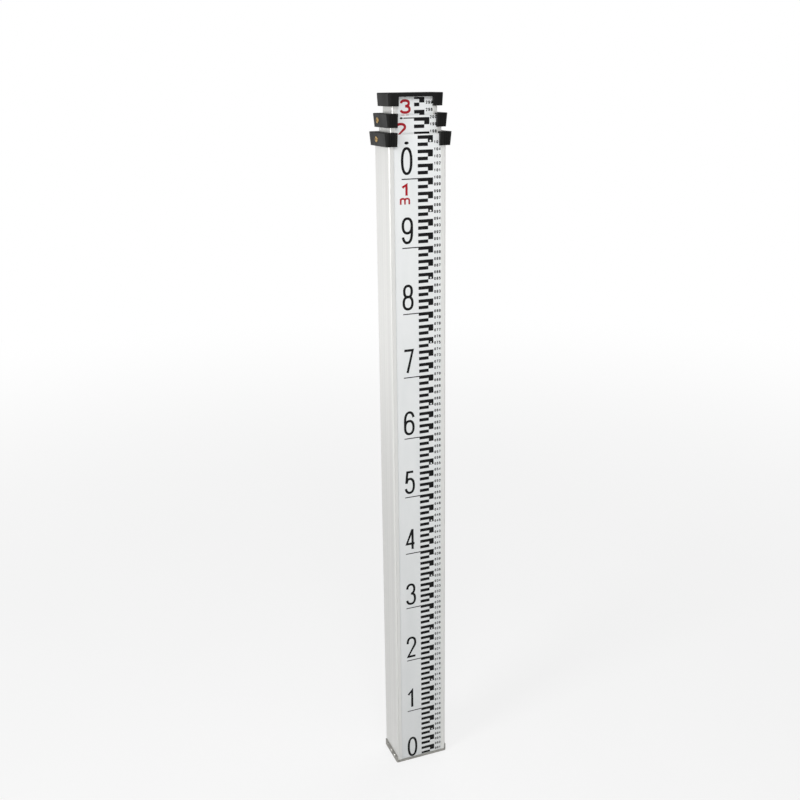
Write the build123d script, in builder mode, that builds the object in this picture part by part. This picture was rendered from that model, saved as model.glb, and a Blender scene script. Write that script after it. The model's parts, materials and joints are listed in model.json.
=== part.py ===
from build123d import *
from math import cos, radians, sin, tan
import os

# Three-section telescopic levelling staff, collapsed and standing on its shoe.
# Millimetres. The origin is the centre of the shoe's underside, which is the zero of the scale.
# +Z runs up the staff, the graduated faces look along -Y, and +X is to the right seen from the front.

# ---- driving dimensions -------------------------------------------------------------------
OUTER_WIDTH = 90.0          # width of the bottom section, across the graduated face
OUTER_DEPTH = 58.0          # depth of the bottom section, front to back
WALL = 1.6                  # wall of every extrusion
SECTION_GAP = 3.1           # air between one section and the next, each side
SECTION_STEP = WALL + SECTION_GAP
CORNER_RADIUS = 3.0

OUTER_TOP = 1062.0          # rim of the bottom section above the ground
MIDDLE_TOP = 1088.0         # rim of the middle section, collapsed
INNER_TOP = 1113.5          # rim of the top section, collapsed
MIDDLE_TRAVEL = 915.0       # pulls the 2 m mark to its true height
INNER_TRAVEL = 970.0        # further pull that brings the 3 m mark to its true height

LIP_WIDTH = 7.5             # raised lip each side of the printed face
RECESS_DEPTH = 1.0          # the printed face lies this far behind the lips
LIP_WALL = WALL + RECESS_DEPTH
GROOVE_INSET = 2.4          # fine groove along each lip, from the corner
GROOVE_WIDTH = 1.2
GROOVE_DEPTH = 0.9
STRIP_THICKNESS = 0.4       # printed face strip
STRIP_SIDE_GAP = 0.5

FIT = 0.1                   # gap between pieces that are fixed to each other
SLIDE_GAP = 0.4             # running clearance of a plastic guide on a section

COLLAR_HEIGHT = 19.5
COLLAR_LIP = 2.8            # the collar stands this far above the rim that it wraps
COLLAR_WALL = 7.0           # wall thickness at the collar's top edge
COLLAR_DRAFT = 5.8          # degrees; the collar is narrower at its lower edge
COLLAR_CORNER = 5.0         # outer corner radius of the collars and the cap
OUTER_ARM_WRAP = 11.5       # how far the arms reach over the front, from the section's edge
MIDDLE_ARM_WRAP = 9.5
CAP_ARM_WRAP = 8.4
FLUTE_RADIUS = 1.1          # round flutes down the front of each arm
FLUTE_PITCH = 3.2
FLUTE_COUNT = 3

CAP_HEIGHT = 18.5
CAP_PLATE = 5.5             # top plate of the cap; its edge shows across the front
CAP_DRAFT = 3.4

SHOE_PLATE = 5.5
SHOE_EAR_THICKNESS = 1.5
SHOE_EAR_HEIGHT = 12.0
SHOE_CORNER = 3.0
SHOE_SCREW_Y = (-17.0, -2.0)
SHOE_SCREW_Z = 8.4

BUFFER_THICKNESS = 4.0      # rubber pad that takes the foot of the next section
BUFFER_INSET = 12.0
STOP_GAP = 0.5              # the joint's own stop carries the section just clear of the rubber

FOOT_FLOOR = 4.0            # floor of the guide shoe on a sliding section
FOOT_HEIGHT = 30.0
FOOT_RIVET_RISE = 6.2       # foot rivets above the guide's underside, below the next guide

PAD_LENGTH = 22.0           # anti-rattle pads inside the top of a section
PAD_WIDTH = 12.0
PAD_DROP = 44.0             # lower end of a pad below the rim

BUSH_RADIUS = 2.7           # lock bush barrel
BUSH_BORE = 2.0
BUSH_FLANGE = 4.2
BUSH_FLANGE_THICKNESS = 0.9
SPOT_FACE_RADIUS = 4.6
OUTER_LOCK_Y = 5.0          # the two locks are offset so that one button clears the other's spring
MIDDLE_LOCK_Y = 12.0

BUTTON_RADIUS = 1.7
BUTTON_REACH = 2.7          # how far a lock button stands out of its own section
BUTTON_HEAD_RADIUS = 1.5
TENON_RADIUS = 0.8
LEAF_THICKNESS = 0.4
LEAF_WIDTH = 5.0
LEAF_LENGTH = 45.0
LEAF_LIFT = 1.4             # leaf off the wall at the button
LEAF_FOOT = 6.0
BUTTON_SEAT = 2.4           # flat end of the leaf, each way from the button's centre
RIVET_RADIUS = 1.0
RIVET_HEAD_RADIUS = 1.9
RIVET_HEAD = 0.6

SCREW_SHANK = 1.5
SCREW_HEAD = 2.8
SCREW_HEAD_HEIGHT = 1.4
SCREW_RECESS_DEPTH = 0.8
SCREW_RECESS_WIDTH = 0.7
SCREW_HOLE = SCREW_SHANK + FIT

# ---- worked-out dimensions ------------------------------------------------------------------
MIDDLE_WIDTH = OUTER_WIDTH - 2 * SECTION_STEP
MIDDLE_DEPTH = OUTER_DEPTH - 2 * SECTION_STEP
INNER_WIDTH = MIDDLE_WIDTH - 2 * SECTION_STEP
INNER_DEPTH = MIDDLE_DEPTH - 2 * SECTION_STEP

OUTER_FOOT = SHOE_PLATE
MIDDLE_GUIDE_FOOT = OUTER_FOOT + BUFFER_THICKNESS + STOP_GAP
MIDDLE_FOOT = MIDDLE_GUIDE_FOOT + FOOT_FLOOR
INNER_GUIDE_FOOT = MIDDLE_FOOT + BUFFER_THICKNESS + STOP_GAP
INNER_FOOT = INNER_GUIDE_FOOT + FOOT_FLOOR

COLLAR_MID_DROP = COLLAR_HEIGHT / 2 - COLLAR_LIP
OUTER_LOCK_Z = OUTER_TOP - COLLAR_MID_DROP
MIDDLE_LOCK_Z = MIDDLE_TOP - COLLAR_MID_DROP
MIDDLE_BUTTON_Z = OUTER_LOCK_Z - MIDDLE_TRAVEL
INNER_BUTTON_Z = MIDDLE_LOCK_Z - INNER_TRAVEL
COLLAR_SIDE = COLLAR_WALL - COLLAR_HEIGHT / 2 * tan(radians(COLLAR_DRAFT))   # wall at mid-height
COLLAR_SCREW_X = (-18.0, 18.0)

os.makedirs("parts", exist_ok=True)


def save(piece, name):
    """Label a finished piece and write it as its own STEP file."""
    piece.part.label = name
    export_step(piece.part, f"parts/{name}.step")


def left_plane(x):
    """Plane at x whose sketch axes are Y and Z and whose normal is +X."""
    return Plane(origin=(x, 0, 0), x_dir=(0, 1, 0), z_dir=(1, 0, 0))


def back_plane(y):
    """Plane at y whose sketch axes are X and Z and whose normal is -Y."""
    return Plane(origin=(0, y, 0), x_dir=(1, 0, 0), z_dir=(0, -1, 0))


# ---- pieces that each section has ---------------------------------------------------------------
def section_tube(width, depth, foot, top, left_holes, through_holes, back_holes):
    """Rectangular extrusion whose front face is recessed between two grooved lips.

    A left or through hole is (y, z, radius); a back hole is (x, z, radius).
    """
    with BuildPart() as tube:
        with BuildSketch(Plane.XY.offset(foot)):
            RectangleRounded(width, depth, CORNER_RADIUS)
            with Locations((0, RECESS_DEPTH / 2)):
                Rectangle(width - 2 * WALL, depth - WALL - LIP_WALL, mode=Mode.SUBTRACT)
            with Locations((0, (RECESS_DEPTH - depth) / 2)):
                Rectangle(width - 2 * LIP_WIDTH, RECESS_DEPTH, mode=Mode.SUBTRACT)
            with Locations(
                (GROOVE_INSET - width / 2, (GROOVE_DEPTH - depth) / 2),
                (width / 2 - GROOVE_INSET, (GROOVE_DEPTH - depth) / 2),
            ):
                Rectangle(GROOVE_WIDTH, GROOVE_DEPTH, mode=Mode.SUBTRACT)
        extrude(amount=top - foot)
        one_wall = WALL + 2 * FIT
        both_walls = width + 2 * FIT
        for holes, reach in ((left_holes, one_wall), (through_holes, both_walls)):
            for y, z, radius in holes:
                with BuildSketch(left_plane(-width / 2 - FIT)):
                    with Locations((y, z)):
                        Circle(radius)
                extrude(amount=reach, mode=Mode.SUBTRACT)
        for x, z, radius in back_holes:
            with BuildSketch(back_plane(depth / 2 + FIT)):
                with Locations((x, z)):
                    Circle(radius)
            extrude(amount=one_wall, mode=Mode.SUBTRACT)
    return tube


def face_strip(width, depth, foot, top):
    """White printed strip lying in the recess of a section's front face."""
    with BuildPart() as strip:
        with BuildSketch(Plane.XY.offset(foot)):
            with Locations((0, -depth / 2 + RECESS_DEPTH - STRIP_THICKNESS / 2)):
                Rectangle(width - 2 * LIP_WIDTH - 2 * STRIP_SIDE_GAP, STRIP_THICKNESS)
        extrude(amount=top - foot)
    return strip


def flutes(front, arm_middle, top):
    """Cuts round flutes down the drafted front of both arms of the collar being built."""
    along_draft = Plane(
        origin=(0, -front, top - COLLAR_HEIGHT / 2),
        x_dir=(1, 0, 0),
        z_dir=(0, -sin(radians(COLLAR_DRAFT)), cos(radians(COLLAR_DRAFT))),
    )
    with BuildSketch(along_draft) as spots:
        with Locations((-arm_middle, 0), (arm_middle, 0)):
            with GridLocations(FLUTE_PITCH, 1, FLUTE_COUNT, 1):
                Circle(FLUTE_RADIUS)
    extrude(spots.sketch, amount=COLLAR_HEIGHT, both=True, mode=Mode.SUBTRACT)


def section_collar(width, depth, rim, arm_wrap, next_width, next_depth, lock_y, lock_z):
    """C-shaped plastic collar: wraps the rim, guides the next section, open at front centre."""
    top = rim + COLLAR_LIP
    bottom = top - COLLAR_HEIGHT
    window = width - 2 * arm_wrap
    with BuildPart() as collar:
        with BuildSketch(Plane.XY.offset(top)):
            RectangleRounded(width + 2 * COLLAR_WALL, depth + 2 * COLLAR_WALL, COLLAR_CORNER)
        extrude(amount=-COLLAR_HEIGHT, taper=COLLAR_DRAFT)
        fillet(collar.faces().sort_by(Axis.Z)[-1].edges(), 0.8)
        with BuildSketch(Plane.XY.offset(bottom)):
            RectangleRounded(width + 2 * FIT, depth + 2 * FIT, CORNER_RADIUS + FIT)
        extrude(amount=rim - bottom + FIT, mode=Mode.SUBTRACT)
        with BuildSketch(Plane.XY.offset(rim)):
            RectangleRounded(
                next_width + 2 * SLIDE_GAP, next_depth + 2 * SLIDE_GAP, CORNER_RADIUS + SLIDE_GAP
            )
        extrude(amount=COLLAR_LIP, mode=Mode.SUBTRACT)
        with BuildSketch(Plane.XY.offset(bottom)):
            with Locations((0, -depth / 2 - COLLAR_WALL)):
                Rectangle(window, 2 * (COLLAR_WALL + SECTION_STEP + CORNER_RADIUS))
        extrude(amount=COLLAR_HEIGHT, mode=Mode.SUBTRACT)
        flutes(depth / 2 + COLLAR_SIDE, (width - arm_wrap) / 2 + FLUTE_PITCH, top)
        seat = -width / 2 - COLLAR_SIDE + BUSH_FLANGE_THICKNESS / 2
        with BuildSketch(left_plane(seat)):
            with Locations((lock_y, lock_z)):
                Circle(SPOT_FACE_RADIUS)
        extrude(amount=-2 * COLLAR_WALL, mode=Mode.SUBTRACT)
        with BuildSketch(left_plane(seat)):
            with Locations((lock_y, lock_z)):
                Circle(BUSH_RADIUS + FIT)
        extrude(amount=2 * COLLAR_WALL, mode=Mode.SUBTRACT)
        with BuildSketch(back_plane(depth / 2 + 2 * COLLAR_WALL)):
            with Locations(*[(x, lock_z) for x in COLLAR_SCREW_X]):
                Circle(SCREW_HOLE)
        extrude(amount=2 * COLLAR_WALL, mode=Mode.SUBTRACT)
        with BuildSketch(back_plane(depth / 2 + 2 * COLLAR_WALL)):
            with Locations(*[(x, lock_z) for x in COLLAR_SCREW_X]):
                Circle(SPOT_FACE_RADIUS)
        extrude(amount=2 * COLLAR_WALL - COLLAR_SIDE + SCREW_HEAD_HEIGHT, mode=Mode.SUBTRACT)
    return collar


def lock_bush(width, lock_y, lock_z):
    """Flanged brass bush through the collar and the section's wall, where a lock button catches."""
    seat = -width / 2 - COLLAR_SIDE + BUSH_FLANGE_THICKNESS / 2
    inner_end = -width / 2 + WALL - 2 * FIT
    with BuildPart() as bush:
        with BuildSketch(left_plane(seat)):
            with Locations((lock_y, lock_z)):
                Circle(BUSH_FLANGE)
        extrude(amount=-BUSH_FLANGE_THICKNESS, taper=15)
        with BuildSketch(left_plane(seat)):
            with Locations((lock_y, lock_z)):
                Circle(BUSH_RADIUS)
        extrude(amount=inner_end - seat)
        with BuildSketch(left_plane(seat - BUSH_FLANGE_THICKNESS)):
            with Locations((lock_y, lock_z)):
                Circle(BUSH_BORE)
        extrude(amount=inner_end - seat + BUSH_FLANGE_THICKNESS, mode=Mode.SUBTRACT)
    return bush


def screws(spots, shank_length):
    """Pan-head screws with a cross recess, one on each plane, each plane facing out."""
    with BuildPart() as group:
        for spot in spots:
            with BuildSketch(spot):
                Circle(SCREW_HEAD)
            extrude(amount=SCREW_HEAD_HEIGHT, taper=14)
            with BuildSketch(spot):
                Circle(SCREW_SHANK)
            extrude(amount=-shank_length)
            with BuildSketch(spot.offset(SCREW_HEAD_HEIGHT)):
                Rectangle(SCREW_HEAD, SCREW_RECESS_WIDTH)
                Rectangle(SCREW_RECESS_WIDTH, SCREW_HEAD)
            extrude(amount=-SCREW_RECESS_DEPTH, mode=Mode.SUBTRACT)
    return group


def back_screw_spots(y, z):
    """Planes facing +Y for the pair of screws in a collar's or the cap's back wall."""
    return [Plane(origin=(x, y, z), x_dir=(1, 0, 0), z_dir=(0, 1, 0)) for x in COLLAR_SCREW_X]


def side_screw_spots(x, ys, z):
    """Planes facing out for screws on the left side and on the right side."""
    left = [Plane(origin=(-x, y, z), x_dir=(0, 1, 0), z_dir=(-1, 0, 0)) for y in ys]
    right = [Plane(origin=(x, y, z), x_dir=(0, 1, 0), z_dir=(1, 0, 0)) for y in ys]
    return left + right


def guide_pads(width, depth, rim):
    """Low-friction pads inside the top of a section: one on each side wall, two at the back."""
    thickness = SECTION_GAP - SLIDE_GAP
    side_x = width / 2 - WALL - thickness / 2
    back_y = depth / 2 - WALL - thickness / 2
    side_y = -PAD_WIDTH
    back_x = width / 2 - 2 * PAD_WIDTH
    with BuildPart() as pads:
        with BuildSketch(Plane.XY.offset(rim - PAD_DROP)):
            with Locations((-side_x, side_y), (side_x, side_y)):
                Rectangle(thickness, PAD_WIDTH)
            with Locations((-back_x, back_y), (back_x, back_y)):
                Rectangle(PAD_WIDTH, thickness)
        extrude(amount=PAD_LENGTH)
    return pads


def foot_guide(width, depth, foot, room_width, room_depth):
    """Plastic shoe round the foot of a sliding section, running inside the section below."""
    with BuildPart() as guide:
        with BuildSketch(Plane.XY.offset(foot)):
            with Locations((0, RECESS_DEPTH / 2)):
                RectangleRounded(room_width - 2 * SLIDE_GAP, room_depth - 2 * SLIDE_GAP, 1.0)
        extrude(amount=FOOT_HEIGHT)
        with BuildSketch(Plane.XY.offset(foot + FOOT_FLOOR)):
            RectangleRounded(width + 2 * FIT, depth + 2 * FIT, CORNER_RADIUS)
        extrude(amount=FOOT_HEIGHT - FOOT_FLOOR, mode=Mode.SUBTRACT)
        with BuildSketch(left_plane(-room_width)):
            with Locations((0, foot + FOOT_RIVET_RISE)):
                Circle(RIVET_HEAD_RADIUS + FIT)
        extrude(amount=2 * room_width, mode=Mode.SUBTRACT)
    return guide


def foot_rivets(width, foot):
    """Pair of rivets that hold a foot guide to its section, left and right."""
    z = foot + FOOT_RIVET_RISE
    with BuildPart() as rivets:
        for side in (-1, 1):
            face = Plane(origin=(side * (width / 2), 0, z), x_dir=(0, 1, 0), z_dir=(side, 0, 0))
            with BuildSketch(face):
                Circle(RIVET_HEAD_RADIUS)
            extrude(amount=SECTION_GAP - 2 * SLIDE_GAP)
            with BuildSketch(face):
                Circle(RIVET_RADIUS)
            extrude(amount=-WALL)
            with BuildSketch(face.offset(-WALL)):
                Circle(RIVET_HEAD_RADIUS)
            extrude(amount=-RIVET_HEAD, taper=20)
    return rivets


def buffer_pad(width, depth, foot):
    """Rubber pad on a floor, where the next section comes down."""
    with BuildPart() as pad:
        with BuildSketch(Plane.XY.offset(foot)):
            RectangleRounded(width - 2 * BUFFER_INSET, depth - 2 * BUFFER_INSET, 3.0)
        extrude(amount=BUFFER_THICKNESS)
        chamfer(pad.faces().sort_by(Axis.Z)[-1].edges(), 0.8)
    return pad


def lock_leaf(width, lock_y, button_z):
    """Flat spring on the inside of a section's left wall: riveted foot, then a raised blade."""
    wall = -width / 2 + WALL
    root = button_z - LEAF_LENGTH
    foot_x = wall + FIT
    tip_x = wall + LEAF_LIFT
    bend = button_z - BUTTON_SEAT
    tip_z = button_z + BUTTON_SEAT
    with BuildPart() as leaf:
        with BuildSketch(Plane(origin=(0, lock_y, 0), x_dir=(1, 0, 0), z_dir=(0, -1, 0))):
            with BuildLine():
                Polyline(
                    (foot_x, root - LEAF_FOOT),
                    (foot_x, root),
                    (tip_x, bend),
                    (tip_x, tip_z),
                    (tip_x + LEAF_THICKNESS, tip_z),
                    (tip_x + LEAF_THICKNESS, bend),
                    (foot_x + LEAF_THICKNESS, root),
                    (foot_x + LEAF_THICKNESS, root - LEAF_FOOT),
                    close=True,
                )
            make_face()
        extrude(amount=LEAF_WIDTH / 2, both=True)
        with BuildSketch(left_plane(wall)):
            with Locations((lock_y, root - LEAF_FOOT / 2)):
                Circle(RIVET_RADIUS + FIT)
            with Locations((lock_y, button_z)):
                Circle(TENON_RADIUS)
        extrude(amount=2 * SECTION_GAP, mode=Mode.SUBTRACT)
    return leaf


def lock_button(width, lock_y, button_z):
    """Domed button on the tip of the leaf, with a tenon peened over on the inside."""
    wall = -width / 2 + WALL
    tip_x = wall + LEAF_LIFT
    end_x = -width / 2 - BUTTON_REACH
    with BuildPart() as button:
        with BuildSketch(left_plane(end_x)):
            with Locations((lock_y, button_z)):
                Circle(BUTTON_RADIUS)
        extrude(amount=tip_x - end_x)
        fillet(button.faces().sort_by(Axis.X)[0].edges(), 0.8)
        with BuildSketch(left_plane(tip_x)):
            with Locations((lock_y, button_z)):
                Circle(TENON_RADIUS)
        extrude(amount=LEAF_THICKNESS)
        with BuildSketch(left_plane(tip_x + LEAF_THICKNESS)):
            with Locations((lock_y, button_z)):
                Circle(BUTTON_HEAD_RADIUS)
        extrude(amount=LEAF_THICKNESS / 2)
    return button


def lock_rivet(width, lock_y, button_z):
    """Rivet through the section's wall and the foot of the leaf."""
    wall = -width / 2
    z = button_z - LEAF_LENGTH - LEAF_FOOT / 2
    inner_x = wall + WALL + LEAF_THICKNESS + 2 * FIT
    with BuildPart() as rivet:
        with BuildSketch(left_plane(wall)):
            with Locations((lock_y, z)):
                Circle(RIVET_HEAD_RADIUS)
        extrude(amount=-RIVET_HEAD, taper=20)
        with BuildSketch(left_plane(wall)):
            with Locations((lock_y, z)):
                Circle(RIVET_RADIUS)
        extrude(amount=inner_x - wall)
        with BuildSketch(left_plane(inner_x)):
            with Locations((lock_y, z)):
                Circle(RIVET_HEAD_RADIUS)
        extrude(amount=RIVET_HEAD, taper=20)
    return rivet


def screw_pair(z):
    """Holes in a back wall for the pair of screws at height z."""
    return [(x, z, SCREW_HOLE) for x in COLLAR_SCREW_X]


def lock_holes(lock_y, button_z):
    """Holes in a left wall for a lock button and for the rivet of its leaf."""
    return [
        (lock_y, button_z, BUTTON_RADIUS + SLIDE_GAP),
        (lock_y, button_z - LEAF_LENGTH - LEAF_FOOT / 2, RIVET_RADIUS + FIT),
    ]


# ---- bottom section ------------------------------------------------------------------------------
outer_tube = section_tube(
    OUTER_WIDTH,
    OUTER_DEPTH,
    OUTER_FOOT,
    OUTER_TOP,
    left_holes=[(OUTER_LOCK_Y, OUTER_LOCK_Z, BUSH_RADIUS + FIT)],
    through_holes=[(y, SHOE_SCREW_Z, SCREW_HOLE) for y in SHOE_SCREW_Y],
    back_holes=screw_pair(OUTER_LOCK_Z),
)
save(outer_tube, "outer_tube")

outer_face_strip = face_strip(OUTER_WIDTH, OUTER_DEPTH, OUTER_FOOT, OUTER_TOP)
save(outer_face_strip, "outer_face_strip")

outer_collar = section_collar(
    OUTER_WIDTH,
    OUTER_DEPTH,
    OUTER_TOP,
    OUTER_ARM_WRAP,
    MIDDLE_WIDTH,
    MIDDLE_DEPTH,
    OUTER_LOCK_Y,
    OUTER_LOCK_Z,
)
save(outer_collar, "outer_collar")

outer_lock_bush = lock_bush(OUTER_WIDTH, OUTER_LOCK_Y, OUTER_LOCK_Z)
save(outer_lock_bush, "outer_lock_bush")

collar_seat = COLLAR_SIDE - SCREW_HEAD_HEIGHT
outer_collar_screws = screws(
    back_screw_spots(OUTER_DEPTH / 2 + collar_seat, OUTER_LOCK_Z), collar_seat + WALL
)
save(outer_collar_screws, "outer_collar_screws")

outer_guide_pads = guide_pads(OUTER_WIDTH, OUTER_DEPTH, OUTER_TOP)
save(outer_guide_pads, "outer_guide_pads")

# Metal shoe: a plate under the bottom section with an ear up each side.
shoe_width = OUTER_WIDTH + 2 * SHOE_EAR_THICKNESS + 2 * FIT
with BuildPart() as base_shoe:
    with BuildSketch():
        RectangleRounded(shoe_width, OUTER_DEPTH, SHOE_CORNER)
    extrude(amount=SHOE_EAR_HEIGHT)
    fillet(base_shoe.faces().sort_by(Axis.Z)[0].edges(), SHOE_EAR_THICKNESS)
    with BuildSketch(Plane.XY.offset(SHOE_PLATE)):
        Rectangle(OUTER_WIDTH + 2 * FIT, 2 * OUTER_DEPTH)
    extrude(amount=SHOE_EAR_HEIGHT, mode=Mode.SUBTRACT)
    with BuildSketch(left_plane(-shoe_width)):
        with Locations(*[(y, SHOE_SCREW_Z) for y in SHOE_SCREW_Y]):
            Circle(SCREW_HOLE)
    extrude(amount=2 * shoe_width, mode=Mode.SUBTRACT)
save(base_shoe, "base_shoe")

shoe_screws = screws(
    side_screw_spots(shoe_width / 2, SHOE_SCREW_Y, SHOE_SCREW_Z), SHOE_EAR_THICKNESS + WALL
)
save(shoe_screws, "shoe_screws")

shoe_buffer = buffer_pad(OUTER_WIDTH, OUTER_DEPTH, OUTER_FOOT)
save(shoe_buffer, "shoe_buffer")

# ---- middle section --------------------------------------------------------------------------------
middle_foot_hole = (0, MIDDLE_GUIDE_FOOT + FOOT_RIVET_RISE, RIVET_RADIUS)
middle_tube = section_tube(
    MIDDLE_WIDTH,
    MIDDLE_DEPTH,
    MIDDLE_FOOT,
    MIDDLE_TOP,
    left_holes=[(MIDDLE_LOCK_Y, MIDDLE_LOCK_Z, BUSH_RADIUS + FIT)]
    + lock_holes(OUTER_LOCK_Y, MIDDLE_BUTTON_Z),
    through_holes=[middle_foot_hole],
    back_holes=screw_pair(MIDDLE_LOCK_Z),
)
save(middle_tube, "middle_tube")

middle_face_strip = face_strip(MIDDLE_WIDTH, MIDDLE_DEPTH, MIDDLE_FOOT, MIDDLE_TOP)
save(middle_face_strip, "middle_face_strip")

middle_foot_guide = foot_guide(
    MIDDLE_WIDTH,
    MIDDLE_DEPTH,
    MIDDLE_GUIDE_FOOT,
    OUTER_WIDTH - 2 * WALL,
    OUTER_DEPTH - WALL - LIP_WALL,
)
save(middle_foot_guide, "middle_foot_guide")

middle_foot_rivets = foot_rivets(MIDDLE_WIDTH, MIDDLE_GUIDE_FOOT)
save(middle_foot_rivets, "middle_foot_rivets")

middle_buffer = buffer_pad(MIDDLE_WIDTH, MIDDLE_DEPTH, MIDDLE_FOOT)
save(middle_buffer, "middle_buffer")

middle_lock_leaf = lock_leaf(MIDDLE_WIDTH, OUTER_LOCK_Y, MIDDLE_BUTTON_Z)
save(middle_lock_leaf, "middle_lock_leaf")

middle_lock_button = lock_button(MIDDLE_WIDTH, OUTER_LOCK_Y, MIDDLE_BUTTON_Z)
save(middle_lock_button, "middle_lock_button")

middle_lock_rivet = lock_rivet(MIDDLE_WIDTH, OUTER_LOCK_Y, MIDDLE_BUTTON_Z)
save(middle_lock_rivet, "middle_lock_rivet")

middle_collar = section_collar(
    MIDDLE_WIDTH,
    MIDDLE_DEPTH,
    MIDDLE_TOP,
    MIDDLE_ARM_WRAP,
    INNER_WIDTH,
    INNER_DEPTH,
    MIDDLE_LOCK_Y,
    MIDDLE_LOCK_Z,
)
save(middle_collar, "middle_collar")

middle_lock_bush = lock_bush(MIDDLE_WIDTH, MIDDLE_LOCK_Y, MIDDLE_LOCK_Z)
save(middle_lock_bush, "middle_lock_bush")

middle_collar_screws = screws(
    back_screw_spots(MIDDLE_DEPTH / 2 + collar_seat, MIDDLE_LOCK_Z), collar_seat + WALL
)
save(middle_collar_screws, "middle_collar_screws")

middle_guide_pads = guide_pads(MIDDLE_WIDTH, MIDDLE_DEPTH, MIDDLE_TOP)
save(middle_guide_pads, "middle_guide_pads")

# ---- top section -----------------------------------------------------------------------------------
cap_top = INNER_TOP + CAP_PLATE
cap_screw_z = cap_top - CAP_HEIGHT / 2
inner_foot_hole = (0, INNER_GUIDE_FOOT + FOOT_RIVET_RISE, RIVET_RADIUS)
inner_tube = section_tube(
    INNER_WIDTH,
    INNER_DEPTH,
    INNER_FOOT,
    INNER_TOP,
    left_holes=lock_holes(MIDDLE_LOCK_Y, INNER_BUTTON_Z),
    through_holes=[inner_foot_hole],
    back_holes=screw_pair(cap_screw_z),
)
save(inner_tube, "inner_tube")

inner_face_strip = face_strip(INNER_WIDTH, INNER_DEPTH, INNER_FOOT, INNER_TOP)
save(inner_face_strip, "inner_face_strip")

inner_foot_guide = foot_guide(
    INNER_WIDTH,
    INNER_DEPTH,
    INNER_GUIDE_FOOT,
    MIDDLE_WIDTH - 2 * WALL,
    MIDDLE_DEPTH - WALL - LIP_WALL,
)
save(inner_foot_guide, "inner_foot_guide")

inner_foot_rivets = foot_rivets(INNER_WIDTH, INNER_GUIDE_FOOT)
save(inner_foot_rivets, "inner_foot_rivets")

inner_lock_leaf = lock_leaf(INNER_WIDTH, MIDDLE_LOCK_Y, INNER_BUTTON_Z)
save(inner_lock_leaf, "inner_lock_leaf")

inner_lock_button = lock_button(INNER_WIDTH, MIDDLE_LOCK_Y, INNER_BUTTON_Z)
save(inner_lock_button, "inner_lock_button")

inner_lock_rivet = lock_rivet(INNER_WIDTH, MIDDLE_LOCK_Y, INNER_BUTTON_Z)
save(inner_lock_rivet, "inner_lock_rivet")

# Cap: a plate over the rim, a skirt down three sides, and short arms over the front lips.
cap_skirt = CAP_HEIGHT - CAP_PLATE
with BuildPart() as top_cap:
    with BuildSketch(Plane.XY.offset(cap_top)):
        RectangleRounded(
            INNER_WIDTH + 2 * COLLAR_WALL, INNER_DEPTH + 2 * COLLAR_WALL, COLLAR_CORNER
        )
    extrude(amount=-CAP_HEIGHT, taper=CAP_DRAFT)
    fillet(top_cap.faces().sort_by(Axis.Z)[-1].edges(), 1.2)
    with BuildSketch(Plane.XY.offset(cap_top - CAP_HEIGHT)):
        RectangleRounded(INNER_WIDTH + 2 * FIT, INNER_DEPTH + 2 * FIT, CORNER_RADIUS + FIT)
    extrude(amount=cap_skirt, mode=Mode.SUBTRACT)
    with BuildSketch(Plane.XY.offset(cap_top - CAP_HEIGHT)):
        with Locations((0, -INNER_DEPTH / 2)):
            Rectangle(INNER_WIDTH - 2 * CAP_ARM_WRAP, 2 * COLLAR_WALL + 2 * FIT)
    extrude(amount=cap_skirt, mode=Mode.SUBTRACT)
    with BuildSketch(back_plane(INNER_DEPTH / 2 + 2 * COLLAR_WALL)):
        with Locations(*[(x, cap_screw_z) for x in COLLAR_SCREW_X]):
            Circle(SCREW_HOLE)
    extrude(amount=2 * COLLAR_WALL, mode=Mode.SUBTRACT)
    with BuildSketch(back_plane(INNER_DEPTH / 2 + 2 * COLLAR_WALL)):
        with Locations(*[(x, cap_screw_z) for x in COLLAR_SCREW_X]):
            Circle(SPOT_FACE_RADIUS)
    extrude(amount=2 * COLLAR_WALL - collar_seat, mode=Mode.SUBTRACT)
save(top_cap, "top_cap")

cap_screws = screws(back_screw_spots(INNER_DEPTH / 2 + collar_seat, cap_screw_z), collar_seat + WALL)
save(cap_screws, "cap_screws")
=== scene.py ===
import json
import math

import bpy
from mathutils import Matrix, Vector


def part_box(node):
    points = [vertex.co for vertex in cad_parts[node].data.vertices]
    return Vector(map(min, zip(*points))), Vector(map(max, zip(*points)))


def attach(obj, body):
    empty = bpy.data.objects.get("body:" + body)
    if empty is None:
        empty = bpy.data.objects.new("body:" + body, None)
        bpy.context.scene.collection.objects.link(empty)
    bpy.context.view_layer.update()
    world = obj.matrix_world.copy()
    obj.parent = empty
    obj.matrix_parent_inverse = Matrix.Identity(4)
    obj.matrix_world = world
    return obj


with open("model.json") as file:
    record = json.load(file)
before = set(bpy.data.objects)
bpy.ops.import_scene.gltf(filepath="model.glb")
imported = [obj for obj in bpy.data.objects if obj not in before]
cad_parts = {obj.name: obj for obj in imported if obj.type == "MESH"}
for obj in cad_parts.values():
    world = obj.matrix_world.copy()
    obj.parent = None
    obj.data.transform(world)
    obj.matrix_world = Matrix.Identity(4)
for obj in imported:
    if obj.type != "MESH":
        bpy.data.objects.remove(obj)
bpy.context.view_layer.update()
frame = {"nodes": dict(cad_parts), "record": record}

# Looks of the levelling staff: procedural materials on the CAD pieces, the printed scale of each
# section as thin plates of ink, a pale floor, soft light and the camera. Lengths are in metres.

MM = 0.001
CM = 0.01

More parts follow.
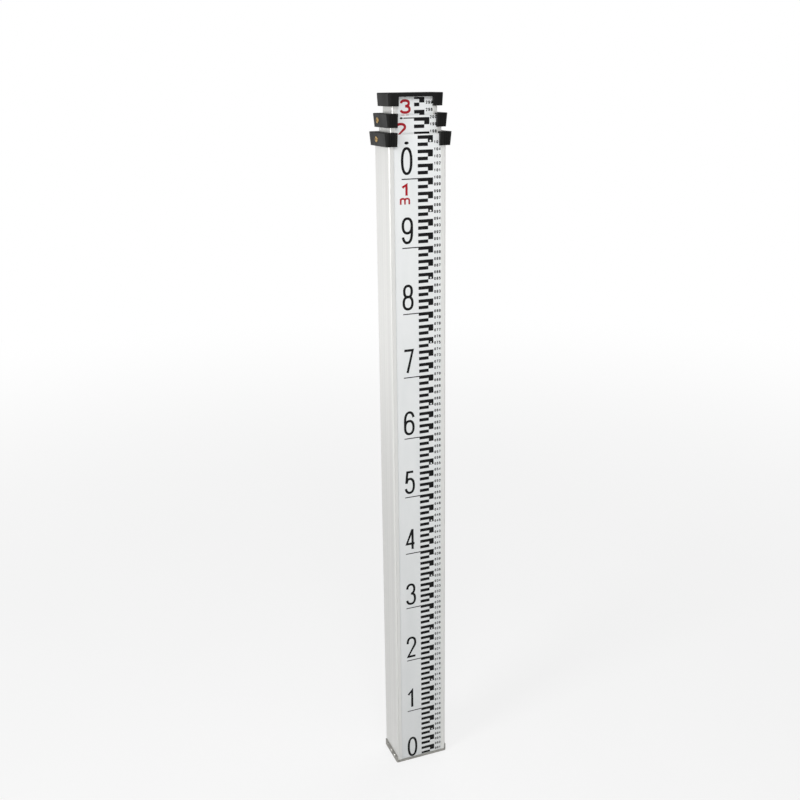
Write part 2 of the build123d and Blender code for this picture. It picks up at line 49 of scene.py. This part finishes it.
# ---- the printed scale ----------------------------------------------------------------------------
INK = 0.08 * MM              # thickness of the printed ink
DOT_INK = 0.11 * MM          # white dots lie on top of the black ink
OVERPRINT = 0.01 * MM        # where two strokes cross, the second lies this much higher
EDGE_MARGIN = 0.6 * MM       # ink stops this far inside the strip's ends
COLUMN = 8 * MM              # width of one column of the pattern
BAR = 5 * MM                 # height of one bar
BLOCK_DOT_RADIUS = 1.3 * MM  # white dot in one block of every decimetre
BLOCK_DOT_DROP = 8 * MM      # its middle lies this far below the block's upper edge
BLOCK_DOT_MARK = 6           # the block's upper edge is at this centimetre of the decimetre
DIGIT_SIZE = (18 * MM, 39.5 * MM)
DIGIT_STROKE = 3.9 * MM
DIGIT_RISE = 5 * MM          # digits stand this far above their line
METRE_DOT_RISE = 50 * MM     # centre of the metre dots above the line
METRE_DOT_RADII = (3.4 * MM, 2.1 * MM)
LINE_DOT_RADII = (2.2 * MM, 1.4 * MM)     # the small dot at the start of a metre line
METRE_DOT_PITCH = 7 * MM
METRE_DIGIT_SIZE = (17 * MM, 20 * MM)
METRE_STROKE = 3.6 * MM
LETTER_SIZE = (16 * MM, 11 * MM)
LETTER_STROKE = 2.6 * MM
LETTER_GAP = 1.2 * MM
LINE_HEIGHT = 1.5 * MM
LABEL_SIZE = (2.9 * MM, 4.6 * MM)
LABEL_PITCH = 3.9 * MM
LABEL_STROKE = 1.05 * MM
LABEL_RISE = 0.3 * MM
ARC_STEP = 12                # degrees between the points of a drawn arc
FINE_ARC_STEP = 30           # the same in the small labels
MITRE_LIMIT = 0.2            # sharpest corner that is mitred in full, as a cosine
FULLNESS = 0.86              # under 1 makes a bowl squarer than an ellipse


def joint_travel(name):
    """Full travel of a slide, from the record."""
    for joint in frame["record"]["behaviour"]["joints"]:
        if joint["name"] == name:
            return joint["range_m"][1]
    raise ValueError(name)


MIDDLE_TRAVEL = joint_travel("middle_slide")
TOP_TRAVEL = joint_travel("top_slide")

# Where each section's print lies: left edge of the bars, columns in a short bar, middle of the big
# digits, of the red metre digit and of the letter under it, how far the metre digit hangs below its
# line, start of the decimetre lines and middle of the small labels.
SECTIONS = (
    dict(name="outer", body="bottom_section", lift=0.0, bars=0.0, short=2, digits=-17.2 * MM,
         metre=-18.2 * MM, letter=-20.5 * MM, drop=6 * MM, line=-25.4 * MM, labels=30.9 * MM),
    dict(name="middle", body="middle_section", lift=MIDDLE_TRAVEL, bars=-3.5 * MM, short=2,
         digits=-23.0 * MM, metre=-24.0 * MM, letter=-23.0 * MM, drop=7 * MM, line=-19.8 * MM,
         labels=26.6 * MM),
    dict(name="inner", body="top_section", lift=MIDDLE_TRAVEL + TOP_TRAVEL, bars=-1.2 * MM, short=1,
         digits=-15.0 * MM, metre=-15.0 * MM, letter=-15.0 * MM, drop=5 * MM, line=-24.0 * MM,
         labels=22.2 * MM),
)


def arc(cx, cz, rx, rz, start, end, step, fullness=FULLNESS):
    """Points of a squarish ellipse's arc from start to end degrees."""
    count = max(2, round(abs(end - start) / step))
    points = []
    for i in range(count + 1):
        angle = math.radians(start + (end - start) * i / count)
        across, up = (math.copysign(abs(v) ** fullness, v) for v in (math.cos(angle), math.sin(angle)))
        points.append((cx + rx * across, cz + rz * up))
    return points


def glyph(character, step):
    """Strokes of a digit or of the letter m, in a unit box: a list of (points, closed)."""
    if character == "0":
        return [(arc(0.5, 0.5, 0.5, 0.5, 90, -270, step)[:-1], True)]
    if character == "1":
        return [([(0.04, 0.7), (0.52, 1.0), (0.52, 0.0)], False)]
    if character == "2":
        return [(arc(0.5, 0.74, 0.48, 0.26, 188, -30, step) + [(0.0, 0.0), (1.0, 0.0)], False)]
    if character == "3":
        upper = arc(0.48, 0.765, 0.44, 0.235, 178, -80, step)
        lower = arc(0.5, 0.265, 0.5, 0.265, 90, -168, step)
        return [(upper, False), (lower, False)]
    if character == "4":
        return [([(0.76, 0.0), (0.76, 1.0)], False), ([(0.72, 0.95), (0.0, 0.28), (1.0, 0.28)], False)]
    if character == "5":
        stem = [(0.92, 1.0), (0.2, 1.0), (0.07, 0.46)]
        bowl = [(0.1, 0.48)] + arc(0.48, 0.335, 0.5, 0.335, 118, -162, step)
        return [(stem, False), (bowl, False)]
    if character == "6":
        return [
            (arc(0.5, 0.3, 0.5, 0.3, 90, -270, step)[:-1], True),
            ([(0.0, 0.3)] + arc(0.52, 0.58, 0.52, 0.42, 180, 22, step), False),
        ]
    if character == "7":
        return [([(0.0, 1.0), (1.0, 1.0), (0.36, 0.0)], False)]
    if character == "8":
        return [
            (arc(0.5, 0.76, 0.43, 0.24, 90, -270, step)[:-1], True),
            (arc(0.5, 0.265, 0.5, 0.265, 90, -270, step)[:-1], True),
        ]
    if character == "9":
        return [
            (arc(0.5, 0.7, 0.5, 0.3, 90, -270, step)[:-1], True),
            ([(1.0, 0.7)] + arc(0.48, 0.42, 0.52, 0.42, 0, -158, step), False),
        ]
    first = [(0.0, 0.0), (0.0, 0.6)] + arc(0.25, 0.62, 0.25, 0.38, 170, 10, step) + [(0.5, 0.0)]
    second = arc(0.75, 0.62, 0.25, 0.38, 170, 10, step) + [(1.0, 0.55), (1.0, 0.0)]
    return [([(0.0, 0.0), (0.0, 1.0)], False), (first[1:], False), (second, False)]


class Ink:
    """Collects flat shapes in the X-Z plane and makes them one mesh of thin closed plates."""

    def __init__(self, front, thickness):
        self.front = front
        self.thickness = thickness
        self.vertices = []
        self.faces = []

    def plate(self, outline, rise=0.0):
        """One convex plate; the outline runs anticlockwise seen from the front."""
        first = len(self.vertices)
        count = len(outline)
        self.vertices += [(x, self.front - self.thickness - rise, z) for x, z in outline]
        self.vertices += [(x, self.front, z) for x, z in outline]
        self.faces.append([first + i for i in range(count)])
        self.faces.append([first + count + i for i in reversed(range(count))])
        for i in range(count):
            j = (i + 1) % count
            self.faces.append([first + i, first + count + i, first + count + j, first + j])

    def ribbon(self, points, closed, width, low, high, rise):
        """A stroke of even width along points, as one closed thin solid.

        Its corners are mitred, and cut off at the box from low to high. It stands higher by rise.
        """
        count = len(points)
        left, right = [], []
        for i, point in enumerate(points):
            here = Vector(point)
            before = Vector(points[i - 1]) if closed or i else None
            after = Vector(points[(i + 1) % count]) if closed or i < count - 1 else None
            first = (here - before).normalized() if before else (after - here).normalized()
            second = (after - here).normalized() if after else first
            along = (first + second).normalized()
            across = Vector((-along.y, along.x))
            reach = across * (width / 2 / max(MITRE_LIMIT, across.dot(Vector((-first.y, first.x)))))
            for side, corner in ((left, here + reach), (right, here - reach)):
                inside = (min(max(v, a), b) for v, a, b in zip(corner, low, high))
                side.append(Vector(inside))
        base = len(self.vertices)
        for y in (self.front - self.thickness - rise, self.front):
            self.vertices += [(p.x, y, p.y) for p in left]
            self.vertices += [(p.x, y, p.y) for p in right]
        fl, fr, bl, br = base, base + count, base + 2 * count, base + 3 * count
        for i in range(count if closed else count - 1):
            j = (i + 1) % count
            self.faces.append([fl + i, fr + i, fr + j, fl + j])
            self.faces.append([bl + i, bl + j, br + j, br + i])
            self.faces.append([fl + i, fl + j, bl + j, bl + i])
            self.faces.append([fr + i, br + i, br + j, fr + j])
        if not closed:
            last = count - 1
            self.faces.append([fl, bl, br, fr])
            self.faces.append([fl + last, fr + last, br + last, bl + last])

    def rectangle(self, x0, x1, z0, z1):
        self.plate([(x0, z0), (x1, z0), (x1, z1), (x0, z1)])

    def ellipse(self, x, z, rx, rz):
        self.plate(arc(x, z, rx, rz, 0, 360, ARC_STEP, 1)[:-1], OVERPRINT)

    def character(self, symbol, left, foot, size, stroke, step=ARC_STEP):
        """One glyph in a box of the given size, whose strokes stay inside the box."""
        span = (size[0] - stroke, size[1] - stroke)
        low = (left, foot)
        high = (left + size[0], foot + size[1])
        for order, (points, closed) in enumerate(glyph(symbol, step)):
            placed = [
                (left + stroke / 2 + x * span[0], foot + stroke / 2 + z * span[1]) for x, z in points
            ]
            self.ribbon(placed, closed, stroke, low, high, order * OVERPRINT)

    def piece(self, name, body, material):
        """Makes the mesh, gives it its material and lets it ride on its section."""
        mesh = bpy.data.meshes.new(name)
        mesh.from_pydata(self.vertices, [], self.faces)
        mesh.update()
        made = bpy.data.objects.new(name, mesh)
        bpy.context.scene.collection.objects.link(made)
        mesh.materials.append(material)
        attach(made, body)
        return made


# ---- materials ------------------------------------------------------------------------------------
NOISE_LOW = 0.3              # the part of the noise's range that the colours and values spread over
NOISE_HIGH = 0.7


def new_material(name):
    """An empty node material with its Principled shader."""
    material = bpy.data.materials.new(name)
    material.use_nodes = True
    return material, material.node_tree, material.node_tree.nodes["Principled BSDF"]


def object_noise(tree, scale, detail=4.0, roughness=0.5):
    """Noise over object coordinates stretched by scale, which is per metre along X, Y and Z."""
    place = tree.nodes.new("ShaderNodeTexCoord")
    stretch = tree.nodes.new("ShaderNodeMapping")
    stretch.inputs["Scale"].default_value = scale
    noise = tree.nodes.new("ShaderNodeTexNoise")
    noise.inputs["Scale"].default_value = 1.0
    noise.inputs["Detail"].default_value = detail
    noise.inputs["Roughness"].default_value = roughness
    tree.links.new(place.outputs["Object"], stretch.inputs["Vector"])
    tree.links.new(stretch.outputs["Vector"], noise.inputs["Vector"])
    return noise.outputs["Fac"]


def ramp(tree, source, low, high, start=NOISE_LOW, end=NOISE_HIGH):
    """Colour ramp between two greys or colours."""
    node = tree.nodes.new("ShaderNodeValToRGB")
    node.color_ramp.elements[0].position = start
    node.color_ramp.elements[1].position = end
    node.color_ramp.elements[0].color = (*low, 1)
    node.color_ramp.elements[1].color = (*high, 1)
    tree.links.new(source, node.inputs["Fac"])
    return node.outputs["Color"]


def spread(tree, source, low, high):
    """Maps noise onto a range of plain values."""
    node = tree.nodes.new("ShaderNodeMapRange")
    node.inputs["From Min"].default_value = NOISE_LOW
    node.inputs["From Max"].default_value = NOISE_HIGH
    node.inputs["To Min"].default_value = low
    node.inputs["To Max"].default_value = high
    tree.links.new(source, node.inputs["Value"])
    return node.outputs["Result"]


def add_bump(tree, shader, source, strength, distance):
    """Bump from a height; a second call adds to the first."""
    node = tree.nodes.new("ShaderNodeBump")
    node.inputs["Strength"].default_value = strength
    node.inputs["Distance"].default_value = distance
    tree.links.new(source, node.inputs["Height"])
    earlier = shader.inputs["Normal"].links
    if earlier:
        tree.links.new(earlier[0].from_socket, node.inputs["Normal"])
    tree.links.new(node.outputs["Normal"], shader.inputs["Normal"])


def extruded_aluminium(name, low, high, metallic, roughness):
    """Satin anodised extrusion: fine die lines along Z, and cloudier patches in the finish."""
    material, tree, shader = new_material(name)
    lines = object_noise(tree, (1400, 1400, 0.8), detail=3.0)
    wide_lines = object_noise(tree, (260, 260, 0.3), detail=2.0)
    patches = object_noise(tree, (9, 9, 2.5), detail=5.0)
    tree.links.new(ramp(tree, wide_lines, low, high), shader.inputs["Base Color"])
    tree.links.new(spread(tree, patches, *roughness), shader.inputs["Roughness"])
    shader.inputs["Metallic"].default_value = metallic
    add_bump(tree, shader, wide_lines, 0.25, 0.05 * MM)
    add_bump(tree, shader, lines, 0.35, 0.03 * MM)
    return material


def moulded_plastic(name, low, high, roughness, grain, specular):
    """Moulded plastic with a fine spark texture and slightly uneven gloss."""
    material, tree, shader = new_material(name)
    shader.inputs["Specular IOR Level"].default_value = specular
    flow = object_noise(tree, (60, 60, 25), detail=5.0)
    spark = object_noise(tree, (2600, 2600, 2600), detail=2.0)
    tree.links.new(ramp(tree, flow, low, high), shader.inputs["Base Color"])
    tree.links.new(spread(tree, flow, *roughness), shader.inputs["Roughness"])
    add_bump(tree, shader, spark, grain, 0.05 * MM)
    return material


def turned_metal(name, low, high, roughness):
    """Small bright metal parts with faint turning marks and tarnish."""
    material, tree, shader = new_material(name)
    tarnish = object_noise(tree, (350, 350, 350), detail=5.0)
    marks = object_noise(tree, (500, 4000, 4000), detail=2.0)
    tree.links.new(ramp(tree, tarnish, low, high), shader.inputs["Base Color"])
    tree.links.new(spread(tree, tarnish, *roughness), shader.inputs["Roughness"])
    shader.inputs["Metallic"].default_value = 1.0
    add_bump(tree, shader, marks, 0.2, 0.03 * MM)
    return material


def cast_metal(name, low, high, roughness):
    """Grey cast metal of the shoe: pitted skin, scuffed brighter in patches."""
    material, tree, shader = new_material(name)
    scuffs = object_noise(tree, (90, 90, 140), detail=8.0, roughness=0.65)
    pits = object_noise(tree, (1100, 1100, 1100), detail=4.0)
    tree.links.new(ramp(tree, scuffs, low, high, 0.35, 0.65), shader.inputs["Base Color"])
    tree.links.new(spread(tree, scuffs, *roughness), shader.inputs["Roughness"])
    shader.inputs["Metallic"].default_value = 0.75
    add_bump(tree, shader, scuffs, 0.3, 0.15 * MM)
    add_bump(tree, shader, pits, 0.45, 0.08 * MM)
    return material


def printed_film(name, low, high, roughness, specular):
    """Satin printed surface: even colour with slight mottling and a fine skin."""
    material, tree, shader = new_material(name)
    shader.inputs["Specular IOR Level"].default_value = specular
    mottle = object_noise(tree, (45, 45, 12), detail=6.0)
    skin = object_noise(tree, (1800, 1800, 1800), detail=3.0)
    tree.links.new(ramp(tree, mottle, low, high), shader.inputs["Base Color"])
    tree.links.new(spread(tree, mottle, *roughness), shader.inputs["Roughness"])
    add_bump(tree, shader, skin, 0.12, 0.03 * MM)
    return material


# One finish for each material slot of the record: darkest and lightest colour, range of roughness,
# and for plastics and print also the grain and the strength of the reflection.
FINISHES = {
    "anodised_aluminium": extruded_aluminium(
        "anodised_aluminium", (0.85, 0.85, 0.83), (0.9, 0.9, 0.88), 0.7, (0.36, 0.46)
    ),
    "rivet_aluminium": turned_metal(
        "rivet_aluminium", (0.66, 0.66, 0.66), (0.78, 0.78, 0.78), (0.3, 0.42)
    ),
    "printed_face": printed_film(
        "printed_face", (0.79, 0.81, 0.81), (0.84, 0.855, 0.855), (0.3, 0.4), 0.5
    ),
    "black_plastic": moulded_plastic(
        "black_plastic", (0.005, 0.005, 0.005), (0.01, 0.01, 0.0095), (0.34, 0.46), 0.2, 0.14
    ),
    "guide_plastic": moulded_plastic(
        "guide_plastic", (0.66, 0.65, 0.6), (0.74, 0.73, 0.68), (0.35, 0.5), 0.15, 0.5
    ),
    "buffer_rubber": moulded_plastic(
        "buffer_rubber", (0.02, 0.02, 0.02), (0.035, 0.035, 0.034), (0.7, 0.85), 0.4, 0.4
    ),
    "brass": turned_metal("brass", (0.62, 0.38, 0.11), (0.82, 0.56, 0.22), (0.24, 0.4)),
    "shoe_metal": cast_metal("shoe_metal", (0.34, 0.335, 0.31), (0.52, 0.51, 0.48), (0.42, 0.62)),
    "zinc_screw": turned_metal("zinc_screw", (0.6, 0.59, 0.56), (0.8, 0.79, 0.76), (0.22, 0.36)),
    "spring_steel": turned_metal("spring_steel", (0.3, 0.32, 0.37), (0.44, 0.46, 0.5), (0.25, 0.4)),
    "lock_button": turned_metal("lock_button", (0.4, 0.4, 0.41), (0.56, 0.56, 0.57), (0.25, 0.4)),
}
INK_BLACK = printed_film("ink_black", (0.005, 0.005, 0.006), (0.01, 0.01, 0.01), (0.34, 0.46), 0.12)
INK_RED = printed_film("ink_red", (0.34, 0.004, 0.012), (0.42, 0.008, 0.02), (0.34, 0.46), 0.25)

for part in frame["record"]["subparts"]:
    node = frame["nodes"][part["node"]]
    for material_slot in node.material_slots:
        material_slot.link = "OBJECT"
        material_slot.material = FINISHES[part["material_slot"]]


# ---- drawing one section's scale --------------------------------------------------------------------
def draw_scale(section):
    """Bars, dots, lines, digits and labels for the part of the scale that a section carries."""
    low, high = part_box(section["name"] + "_face_strip")
    front = low[1]
    lift = section["lift"]
    bottom = low[2] + EDGE_MARGIN
    top = high[2] - EDGE_MARGIN
    bars = section["bars"]
    block = bars + section["short"] * COLUMN
    end = block + COLUMN
    black = Ink(front, INK)
    fine = Ink(front, INK)
    red = Ink(front, INK)
    white = Ink(front, DOT_INK)

    def bar(x0, x1, z0, z1):
        z0, z1 = max(z0, bottom), min(z1, top)
        if z1 - z0 > LINE_HEIGHT / 2:
            black.rectangle(x0, x1, z0, z1)

    first = math.floor((low[2] + lift) / CM)
    last = math.floor((high[2] + lift) / CM)
    for mark in range(first, last + 3):
        z = mark * CM - lift
        if mark % 2 == 0:
            bar(bars, end, z - BAR, z)
            bar(block, end, z - 2 * BAR, z - BAR)
            bar(bars, block, z - 3 * BAR, z - 2 * BAR)
            dot_z = z - BLOCK_DOT_DROP
            if mark % 10 == BLOCK_DOT_MARK and bottom < dot_z - BAR / 2 and dot_z + BAR / 2 < top:
                white.ellipse(block + COLUMN / 2, dot_z, BLOCK_DOT_RADIUS, BLOCK_DOT_RADIUS)
        label_foot = z + LABEL_RISE - LABEL_SIZE[1] / 2
        if mark > 0 and label_foot > bottom and label_foot + LABEL_SIZE[1] < high[2]:
            for i, symbol in enumerate(f"{mark:03d}"):
                left = section["labels"] + (i - 1) * LABEL_PITCH - LABEL_SIZE[0] / 2
                fine.character(symbol, left, label_foot, LABEL_SIZE, LABEL_STROKE, FINE_ARC_STEP)
        if mark % 10 == 0:
            draw_decimetre(section, mark, z, bottom, top, black, red)
    name = section["name"]
    black.piece(name + "_scale_black", section["body"], INK_BLACK)
    fine.piece(name + "_scale_labels", section["body"], INK_BLACK)
    white.piece(name + "_scale_dots", section["body"], FINISHES["printed_face"])
    if red.faces:
        red.piece(name + "_scale_metre", section["body"], INK_RED)


def draw_decimetre(section, mark, z, bottom, top, black, red):
    """The line, big digit and metre dots at a decimetre, and the red metre figure at a metre."""
    if mark > 0 and bottom < z - LINE_HEIGHT and z < top:
        black.rectangle(section["line"], section["bars"], z - LINE_HEIGHT, z)
    foot = z + DIGIT_RISE if mark else max(z + DIGIT_RISE, bottom)
    left = section["digits"] - DIGIT_SIZE[0] / 2
    if foot >= bottom and foot + DIGIT_SIZE[1] < top:
        black.character(str(mark // 10 % 10), left, foot, DIGIT_SIZE, DIGIT_STROKE)
    metres = mark // 100
    dots_z = z + METRE_DOT_RISE
    if metres and bottom < dots_z - BAR and dots_z + BAR < top:
        for i in range(metres):
            x = section["digits"] + (i - (metres - 1) / 2) * METRE_DOT_PITCH
            black.ellipse(x, dots_z, *METRE_DOT_RADII)
    if mark > 0 and mark % 100 == 0:
        digit_foot = z - section["drop"] - METRE_DIGIT_SIZE[1]
        letter_foot = digit_foot - LETTER_GAP - LETTER_SIZE[1]
        if letter_foot > bottom:
            left = section["metre"] - METRE_DIGIT_SIZE[0] / 2
            red.character(str(metres), left, digit_foot, METRE_DIGIT_SIZE, METRE_STROKE)
            left = section["letter"] - LETTER_SIZE[0] / 2
            red.character("m", left, letter_foot, LETTER_SIZE, LETTER_STROKE)
        if metres > 1:
            black.ellipse(section["digits"], z - LINE_HEIGHT / 2, *LINE_DOT_RADII)


for each in SECTIONS:
    draw_scale(each)

# ---- floor, light and camera --------------------------------------------------------------------------
FLOOR_RADIUS = 40.0
FADE_START = 0.3             # the floor fades into the backdrop between these distances
FADE_END = 3.5
NEAR_GLOW = 0.75             # how far the floor next to the staff is seen as backdrop
AMBIENT = 0.34               # brightness of the surroundings as a light
BACKDROP = 1.0               # brightness of the surroundings as seen
FLOOR_DARK = (0.9, 0.9, 0.9)
FLOOR_LIGHT = (0.93, 0.93, 0.93)
WHITE = (1, 1, 1, 1)

# Name, place, target, width and height, and power of each light.
LIGHTS = (
    ("key_light", (-0.5, -1.5, 2.0), (0, 0, 0.95), (0.8, 0.8), 13.5),
    ("side_light", (-1.5, -0.55, 1.5), (0, 0, 0.9), (0.5, 1.0), 13),
    ("top_light", (0.6, 0.5, 2.4), (0, 0, 1.0), (0.8, 0.8), 6),
)

# The camera stands at the staff's left front, level with its top, and looks down along it.
CAMERA_PLACE = (-0.5623, -1.3878, 1.1363)
CAMERA_YAW = 21.3            # degrees to the right of straight ahead
CAMERA_PITCH = 17.9          # degrees down
CAMERA_ROLL = -0.74
CAMERA_LENS = 44.6
CAMERA_SENSOR = 36


def pale_floor():
    """A wide round floor that fades into the background's white away from the staff."""
    bpy.ops.mesh.primitive_circle_add(vertices=128, radius=FLOOR_RADIUS, fill_type="NGON")
    floor = bpy.context.object
    floor.name = "studio_floor"
    material, tree, shader = new_material("studio_floor")
    grain = object_noise(tree, (3, 3, 3), detail=3.0)
    tree.links.new(ramp(tree, grain, FLOOR_DARK, FLOOR_LIGHT), shader.inputs["Base Color"])
    shader.inputs["Roughness"].default_value = 0.6
    glow = tree.nodes.new("ShaderNodeEmission")
    glow.inputs["Color"].default_value = WHITE
    glow.inputs["Strength"].default_value = BACKDROP
    place = tree.nodes.new("ShaderNodeTexCoord")
    away = tree.nodes.new("ShaderNodeVectorMath")
    away.operation = "LENGTH"
    fade = tree.nodes.new("ShaderNodeMapRange")
    fade.interpolation_type = "SMOOTHSTEP"
    fade.inputs["From Min"].default_value = FADE_START
    fade.inputs["From Max"].default_value = FADE_END
    blend = tree.nodes.new("ShaderNodeMixShader")
    path = tree.nodes.new("ShaderNodeLightPath")
    share = tree.nodes.new("ShaderNodeMath")
    share.operation = "MULTIPLY"
    share.inputs[1].default_value = NEAR_GLOW
    brighten = tree.nodes.new("ShaderNodeMixShader")
    tree.links.new(place.outputs["Object"], away.inputs[0])
    tree.links.new(away.outputs["Value"], fade.inputs["Value"])
    tree.links.new(fade.outputs["Result"], blend.inputs["Fac"])
    tree.links.new(shader.outputs["BSDF"], blend.inputs[1])
    tree.links.new(glow.outputs["Emission"], blend.inputs[2])
    tree.links.new(path.outputs["Is Camera Ray"], share.inputs[0])
    tree.links.new(share.outputs["Value"], brighten.inputs["Fac"])
    tree.links.new(blend.outputs["Shader"], brighten.inputs[1])
    tree.links.new(glow.outputs["Emission"], brighten.inputs[2])
    tree.links.new(brighten.outputs["Shader"], tree.nodes["Material Output"].inputs["Surface"])
    floor.data.materials.append(material)


def soft_light(name, place, target, size, power):
    """A rectangular area light, size wide and high, that looks at a target."""
    data = bpy.data.lights.new(name, "AREA")
    data.shape = "RECTANGLE"
    data.size, data.size_y = size
    data.energy = power
    lamp = bpy.data.objects.new(name, data)
    bpy.context.scene.collection.objects.link(lamp)
    lamp.location = place
    lamp.rotation_euler = (Vector(target) - Vector(place)).to_track_quat("-Z", "Y").to_euler()


def studio_world():
    """Even white surroundings: dimmer as a light than they look behind the staff."""
    world = bpy.data.worlds.new("studio")
    bpy.context.scene.world = world
    world.use_nodes = True
    tree = world.node_tree
    light = tree.nodes["Background"]
    light.inputs["Color"].default_value = WHITE
    light.inputs["Strength"].default_value = AMBIENT
    seen = tree.nodes.new("ShaderNodeBackground")
    seen.inputs["Color"].default_value = WHITE
    seen.inputs["Strength"].default_value = BACKDROP
    path = tree.nodes.new("ShaderNodeLightPath")
    either = tree.nodes.new("ShaderNodeMixShader")
    tree.links.new(path.outputs["Is Camera Ray"], either.inputs["Fac"])
    tree.links.new(light.outputs["Background"], either.inputs[1])
    tree.links.new(seen.outputs["Background"], either.inputs[2])
    tree.links.new(either.outputs["Shader"], tree.nodes["World Output"].inputs["Surface"])


def staff_camera():
    """Camera from its place and its yaw, pitch and roll in degrees."""
    yaw, pitch, roll = (math.radians(a) for a in (CAMERA_YAW, CAMERA_PITCH, CAMERA_ROLL))
    ahead = Vector((
        math.sin(yaw) * math.cos(pitch), math.cos(yaw) * math.cos(pitch), -math.sin(pitch)
    ))
    level = Vector((math.cos(yaw), -math.sin(yaw), 0))
    above = level.cross(ahead)
    right = math.cos(roll) * level + math.sin(roll) * above
    up = math.cos(roll) * above - math.sin(roll) * level
    data = bpy.data.cameras.new("camera")
    data.lens = CAMERA_LENS
    data.sensor_width = CAMERA_SENSOR
    data.clip_start = 0.01
    data.clip_end = 100
    camera = bpy.data.objects.new("camera", data)
    bpy.context.scene.collection.objects.link(camera)
    turn = Matrix((right, up, -ahead)).transposed().to_4x4()
    camera.matrix_world = Matrix.Translation(CAMERA_PLACE) @ turn
    bpy.context.scene.camera = camera


bpy.context.scene.view_settings.view_transform = "Standard"
studio_world()
pale_floor()
for name, place, target, size, power in LIGHTS:
    soft_light(name, place, target, size, power)
staff_camera()
